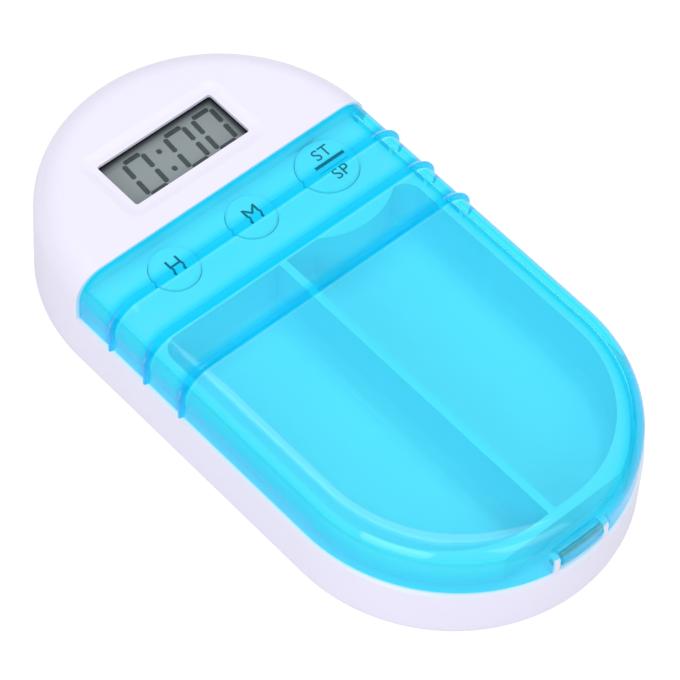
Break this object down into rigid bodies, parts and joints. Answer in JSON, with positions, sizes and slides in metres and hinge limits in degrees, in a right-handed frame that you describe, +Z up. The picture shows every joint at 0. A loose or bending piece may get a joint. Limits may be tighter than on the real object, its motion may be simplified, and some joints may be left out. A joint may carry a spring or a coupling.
{
  "type": "pill box with countdown alarm",
  "caption": "Stadium-shaped white pill box with a raised display end, round buttons, a split tray and a clear blue flip lid with grip ribs.",
  "frame": {"origin": "middle of the underside, at the height of the surface it stands on", "axes": "+X along the display's reading direction, +Y from the hinged tail to the display head, +Z up"},
  "size_m": [0.0506, 0.0944, 0.0171],
  "materials": {
    "white_plastic": "satin moulded white",
    "clear_blue_plastic": "polished transparent blue",
    "steel": "plain",
    "cell_can": "nickel plated",
    "contact_metal": "plated spring strip",
    "board": "green solder mask",
    "black_resin": "cast resin",
    "coil_wire": "lacquered winding",
    "crystal_can": "drawn can",
    "lcd_glass": "grey display glass",
    "dark_plastic": "moulded",
    "connector_rubber": "layered strip",
    "dome_rubber": "silicone",
    "brass": "sheet",
    "ceramic": "silvered ceramic"
  },
  "bodies": {
    "case": {"housing": "white_plastic", "bottom_cover": "white_plastic", "hinge_pin": "steel", "cover_screws": "steel", "board_screws": "steel", "button_cell": "cell_can", "positive_contact": "contact_metal", "negative_contact": "contact_metal", "buzzer_contacts": "contact_metal", "circuit_board": "board", "chip_blob": "black_resin", "boost_coil": "coil_wire", "crystal": "crystal_can", "lcd_panel": "lcd_glass", "lcd_frame": "dark_plastic", "zebra_strips": "connector_rubber", "hour_dome": "dome_rubber", "minute_dome": "dome_rubber", "start_stop_dome": "dome_rubber", "buzzer_disc": "brass", "buzzer_ceramic": "ceramic"},
    "lid": {"lid": "clear_blue_plastic"},
    "battery_door": {"battery_door": "white_plastic"},
    "hour_button": {"hour_button": "white_plastic"},
    "minute_button": {"minute_button": "white_plastic"},
    "start_stop_button": {"start_stop_button": "white_plastic"}
  },
  "joints": [
    {"name": "lid_hinge", "type": "hinge", "parent": "case", "child": "lid", "pos_m": [0, -0.0455, 0.0108], "axis": [1, 0, 0], "range_deg": [0, 95]},
    {"name": "door_pull", "type": "slide", "parent": "case", "child": "battery_door", "axis": [0, 0, -1], "range_m": [0, 0.008]},
    {"name": "hour_press", "type": "slide", "parent": "case", "child": "hour_button", "axis": [0, 0, -1], "range_m": [0, 0.0006], "stiffness_N_per_m": 1200, "deforming": ["hour_dome"]},
    {"name": "minute_press", "type": "slide", "parent": "case", "child": "minute_button", "axis": [0, 0, -1], "range_m": [0, 0.0006], "stiffness_N_per_m": 1200, "deforming": ["minute_dome"]},
    {"name": "start_stop_press", "type": "slide", "parent": "case", "child": "start_stop_button", "axis": [0, 0, -1], "range_m": [0, 0.0006], "stiffness_N_per_m": 1200, "deforming": ["start_stop_dome"]}
  ]
}
